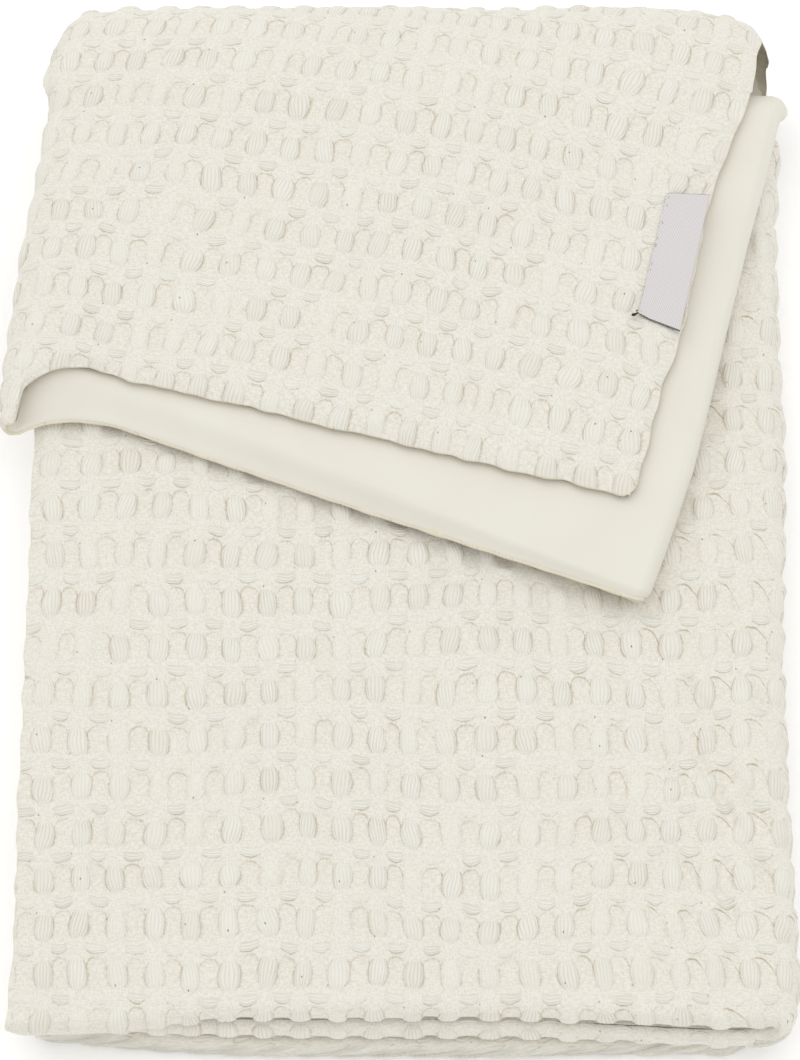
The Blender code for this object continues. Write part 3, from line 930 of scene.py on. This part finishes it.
# %% The ground's threads, the pockets' edges and the seed specks
def ground_threads(node, uv):
    """Fine threads both ways, which fuzz breaks up."""
    ways = (
        (BODY_CELL_MM[0] / THREAD_MM, BODY_CELL_MM[1] / LENGTHWISE_MM[0], 1.0),
        (BODY_CELL_MM[0] / LENGTHWISE_MM[1], BODY_CELL_MM[1] / THREAD_MM, 1.0),
    )
    fine = {"Scale": 1.0, "Detail": 1.0}
    warp, weft = (node(NOISE, node(VECTOR, uv, way, **TIMES), named=fine) for way in ways)
    return node(RANGE, node(MATH, warp, weft, **LARGER), 0.45, 0.68, 0.0, 1.0)


def pulled_askew(node):
    """1 in the pile's right third, which is pulled askew, and 0 on the rest and on the flap. It
    steers the pockets' painted shadow.
    """
    x, _, z = node(SPLIT, node("ShaderNodeTexCoord", output=3)).node.outputs
    right = node(RANGE, x, 55 * MM, 100 * MM, 0.0, 1.0)
    return node(MATH, right, node(RANGE, z, 30 * MM, 34 * MM, 1.0, 0.0), **TIMES)


def pocket_shade(node, across, up):
    """Painted shade at each pocket, where the ground dips in: along a rounded square, darkest on
    the far side, and faint over its floor. Where the cloth is pulled askew the pockets lean, and
    their right sides lie in painted shadow."""
    askew = pulled_askew(node)
    leaning = node(MATH, node(MATH, askew, 0.8, **TIMES), up, across, **TIMES_PLUS)
    wide, high = (
        node(MATH, node(MATH, node(MATH, way, half, **DIVIDED), **SIZE), 3.0, operation="POWER")
        for way, half in ((leaning, POCKET[0]), (up, POCKET[1]))
    )
    from_edge = node(MATH, node(MATH, wide, high, **PLUS), 1.0, **MINUS)
    edge_shade = node(RANGE, node(MATH, from_edge, **SIZE), 0.02, 0.28, 1.0, 0.0)
    edge_shade = node(MATH, edge_shade, node(RANGE, up, -0.3, 0.2, 0.1, 1.0), **TIMES)
    shadow = node(RANGE, leaning, -0.25, 0.1, -0.9, 1.4)
    edge_shade = node(MATH, edge_shade, node(MATH, askew, shadow, 1.0, **TIMES_PLUS), **TIMES)
    return node(MATH, edge_shade, node(RANGE, from_edge, -0.3, 0.4, 0.07, 0.0), **LARGER)


def seed_specks(node, uv):
    """Small brown dots, most of them faint."""
    specks = node(
        "ShaderNodeTexVoronoi", uv, named={"Scale": 1.0}, voronoi_dimensions="2D"
    ).node.outputs
    chance = node("ShaderNodeSeparateColor", specks["Color"])
    dot = node(RANGE, specks["Distance"], 0.012, 0.03, 1.0, 0.0)
    return node(MATH, dot, node(RANGE, chance, 0.45, 1.0, 0.0, 0.85), **TIMES)


# %% The waffle cotton's material
SHADE = 0.27  # of plain cloth
# beside, gaps and pocket are painted shade; loose is painted light on the raised groups; bright
# lightens some groups at random; ground draws the ground's threads
SHADE_OF = dict(beside=0.62, gaps=0.3, loose=-0.17, bright=-0.12, ground=-0.4, pocket=0.52)


def waffle_material():
    """Undyed cotton, loosely woven: matt, with soft fuzz, painted warm shade in its gaps, with seed
    specks.
    """
    material, shader, node = new_material("undyed_waffle_cotton", 0.9, 0.15)
    uv = node("ShaderNodeUVMap", uv_map="weave")
    swirl = node(NOISE, uv, named={"Scale": 2.6, "Detail": 2.0}, output=1)
    shift = node(VECTOR, swirl, (0.5, 0.5, 0.5), **MINUS)
    cell = node(VECTOR, shift, (WANDER, WANDER, 0.0), uv, **TIMES_PLUS)
    a, b, oval_chance = in_cell(node, node(VECTOR, cell, (0.5, 0.5, 0.0), **PLUS))
    c, d, level_chance = in_cell(node, cell)
    square = node(MATH, c, c, **TIMES)
    bow = node(MATH, square, -LEVEL_BOW / LEVEL[0] ** 2, d, **TIMES_PLUS)
    oval, in_oval, oval_shade_ring, _ = yarn_group(
        node, a, b, OVAL, OVAL_PINCH, OVAL_YARNS, oval_chance
    )
    level, in_level, level_shade_ring, below = yarn_group(
        node, bow, c, LEVEL[::-1], LEVEL_PINCH, LEVEL_YARNS, level_chance
    )
    yarns, bright = (
        node(MATH, node(MATH, one, in_oval, **TIMES), node(MATH, two, in_level, **TIMES), **PLUS)
        for one, two in ((oval, level), (oval_chance[1], level_chance[1]))
    )
    loose = node(MATH, in_oval, in_level, **LARGER)
    plain = node(MATH, 1.0, loose, **MINUS)
    ground = node(MATH, ground_threads(node, uv), plain, **TIMES)
    relief = node(MATH, node(MATH, yarns, loose, **PLUS), node(MATH, ground, 0.35, **TIMES), **PLUS)

    broad = node(NOISE, uv, named={"Scale": 1.7, "Detail": 2.0})
    patchy = node(RANGE, broad, 0.38, 0.62, 0.05, 1.15)
    # painted shade: thin rings beside the loose groups, strongest under the level groups, the gaps
    # between yarns and the pockets' edges
    under = node(MATH, level_shade_ring, node(RANGE, below, -0.4, 0.6, 1.0, 0.05), **TIMES)
    shade_rings = node(MATH, node(MATH, oval_shade_ring, 0.75, **TIMES), under, **LARGER)
    gaps = node(MATH, loose, yarns, **CLAMPED_MINUS)
    pocket = node(MATH, pocket_shade(node, c, b), patchy, **TIMES)
    parts = dict(
        beside=node(MATH, shade_rings, patchy, **TIMES),
        gaps=node(MATH, node(MATH, gaps, gaps, **TIMES), patchy, **TIMES),
        loose=loose,
        bright=bright,
        ground=ground,
        pocket=node(MATH, pocket, plain, **TIMES),
    )
    shade = SHADE
    for name, weight in SHADE_OF.items():
        shade = node(MATH, parts[name], weight, shade, **TIMES_PLUS)
    colour = linear("#E9E6DC")
    for factor, code in (
        (node(MATH, shade, 0.0, **LARGER), "#BDB298"),
        (node("ShaderNodeAttribute", attribute_name="hem", output=2), "#E4DDC8"),
        (seed_specks(node, uv), "#6E6455"),
    ):
        mixed = {"Factor": factor, "A": colour, "B": linear(code)}
        colour = node(MIX, data_type="RGBA", output=2, named=mixed)
    join(shader, relief, 0.6, 0.3 * MM, colour)
    return material


waffle_inside = (waffle_flap_inner, waffle_pile_inner, waffle_long_leg)
put_on(waffle_material(), waffle_pile_top, waffle_flap_top, *waffle_inside)

# %% [markdown]
# ## Plain lining cotton
# The lining is fine, close cotton, smooth and matt. Its threads are 0.3 mm apart, too fine to show,
# so they are drawn at 0.8 mm. Noise is used for them, because a regular weave would shimmer.

# %% Plain lining cotton
LINING_THREAD = 0.8 * MM
LINING_PATCH = 30 * MM  # its colour changes a little over this length


def lining_material():
    material, shader, node = new_material("plain_lining_cotton", 0.85, 0.1)
    uv = node("ShaderNodeUVMap", uv_map="weave")
    thread = node(VECTOR, uv, (1 / LINING_THREAD,) * 3, **TIMES)
    weave = node(NOISE, thread, named={"Scale": 1.0, "Detail": 1.0})
    broad = node(NOISE, uv, named={"Scale": 1 / LINING_PATCH, "Detail": 1.0})
    mixed = {"Factor": broad, "A": linear("#E6E3D8"), "B": linear("#E1DDD1")}
    join(shader, weave, 0.25, 0.1 * MM, node(MIX, data_type="RGBA", output=2, named=mixed))
    return material


put_on(lining_material(), lining_sheet)

# %% [markdown]
# ## Woven satin of the label
# The label is woven polyester satin: smooth, with a low gloss and steep twill lines. The lines are
# a sine across its own UV map, so that they turn with the label. Thin dark lines at its two ends,
# darker at the near end, are painted shade at its edges.

# %% Woven satin of the label
TWILL = 0.8 * MM
TWILL_ANGLE = math.radians(34)
# the dark lines at the ends are painted shade
END_SHADE_WIDTH = 0.13 * MM  # width of a dark end


def label_material():
    material, shader, node = new_material("woven_label_satin", 0.5, 0.05)
    uv = node("ShaderNodeUVMap", uv_map="weave")
    turns = 2 * math.pi / TWILL
    across_twill = (math.cos(TWILL_ANGLE) * turns, math.sin(TWILL_ANGLE) * turns, 0.0)
    phase = node(VECTOR, uv, across_twill, operation="DOT_PRODUCT", output=1)
    twill = node(MATH, phase, operation="SINE")
    _, along, _ = node(SPLIT, uv).node.outputs
    # painted shade at both ends, darker at the near end
    near = node(RANGE, along, END_SHADE_WIDTH, END_SHADE_WIDTH * 1.6, 1.0, 0.0)
    far_from, far_to = LABEL_LENGTH - END_SHADE_WIDTH * 1.6, LABEL_LENGTH - END_SHADE_WIDTH
    far = node(RANGE, along, far_from, far_to, 0.0, 0.55)
    colour = linear("#CFCBCB")
    for factor, code in (
        (node(RANGE, twill, -1.0, 1.0, 0.0, 1.0), "#DEDAD9"),
        (node(MATH, near, far, **LARGER), "#4C4848"),
    ):
        mixed = {"Factor": factor, "A": colour, "B": linear(code)}
        colour = node(MIX, data_type="RGBA", output=2, named=mixed)
    join(shader, twill, 0.6, 0.08 * MM, colour)
    return material


put_on(label_material(), woven_label)

# %% [markdown]
# ## Sewing thread
# Spun polyester thread, with a fine twist. On lengths of a millimetre or two the twist is only a
# roughness, so noise at half a millimetre stands in for it.

# %% Sewing thread
TWIST = 0.5 * MM


def thread_material(name, code):
    material, shader, node = new_material(name, 0.7, 0.1)
    place = node("ShaderNodeTexCoord", output=3)
    strands = node(NOISE, place, named={"Scale": 1 / TWIST, "Detail": 0.0})
    join(shader, strands, 0.5, 0.05 * MM)
    shader.inputs["Base Color"].default_value = linear(code)
    return material


put_on(thread_material("grey_sewing_thread", "#B9B4B2"), label_stitches)
put_on(thread_material("black_thread_end", "#2B2727"), thread_end)

# %% [markdown]
# ## The floor and the light
# A plain pale floor and large soft lights, as in a product photograph. The main light comes from
# the far left, so the turned hems throw soft shadows to the near right.

# %% Floor
bpy.ops.object.select_all(action="DESELECT")
bpy.ops.mesh.primitive_plane_add(size=6, location=(0, 0, -0.2 * MM))
floor = bpy.context.object
floor.name = "studio_floor"
floor_material, floor_shader, _ = new_material("pale_studio_paper", 0.9, 0.0)
floor_shader.inputs["Base Color"].default_value = (0.95, 0.95, 0.95, 1.0)
floor_shader.inputs["Emission Color"].default_value = (1.0, 1.0, 1.0, 1.0)
floor_shader.inputs["Emission Strength"].default_value = 0.14
put_on(floor_material, floor)


# %% Lights
def soft_light(name, place, size, power):
    """A round light that looks at the blanket."""
    bpy.ops.object.light_add(type="AREA", location=place)
    light = bpy.context.object
    light.name = name
    light.data.shape = "DISK"
    light.data.size = size
    light.data.energy = power
    x, y, z = np.array(place) / np.linalg.norm(place)
    light.rotation_euler = (math.acos(z), 0, math.atan2(y, x) + math.pi / 2)
    print(name, "from", place)


soft_light("main_light", (-0.9, 1.3, 1.6), 1.8, 7)
soft_light("top_light", (0.5, -0.2, 2.4), 2.8, 13)

world = bpy.data.worlds.new("studio")
bpy.context.scene.world = world
world.use_nodes = True
background = world.node_tree.nodes["Background"]
background.inputs["Color"].default_value = (1.0, 1.0, 1.0, 1.0)
background.inputs["Strength"].default_value = 0.82
bpy.context.scene.view_settings.view_transform = "Standard"

# %% [markdown]
# ## What each piece is
# Every piece rides on the part's one body. The sheets stand for the CAD model's plain solids, which
# are hidden. The waffle sheets' flat sizes are listed, and their sum is printed.

# %% Frame calls
WAFFLE_SHARES = {
    waffle_pile_top: (0.275, 0.35),
    waffle_pile_inner: (0.50, 0.35),
    waffle_long_leg: (0.77, 0.335),
    waffle_flap_top: (0.255, 0.27),
    waffle_flap_inner: (0.50, 0.185),
}
for sheet, flat in WAFFLE_SHARES.items():
    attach(sheet, "root")
    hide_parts("waffle_cloth")
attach(lining_sheet, "root")
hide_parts("lining")
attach(woven_label, "root")
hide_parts("label")
for thread in (label_stitches, thread_end):
    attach(thread, "root")
print("waffle cloth shown, square metres:", sum(w * h for w, h in WAFFLE_SHARES.values()))
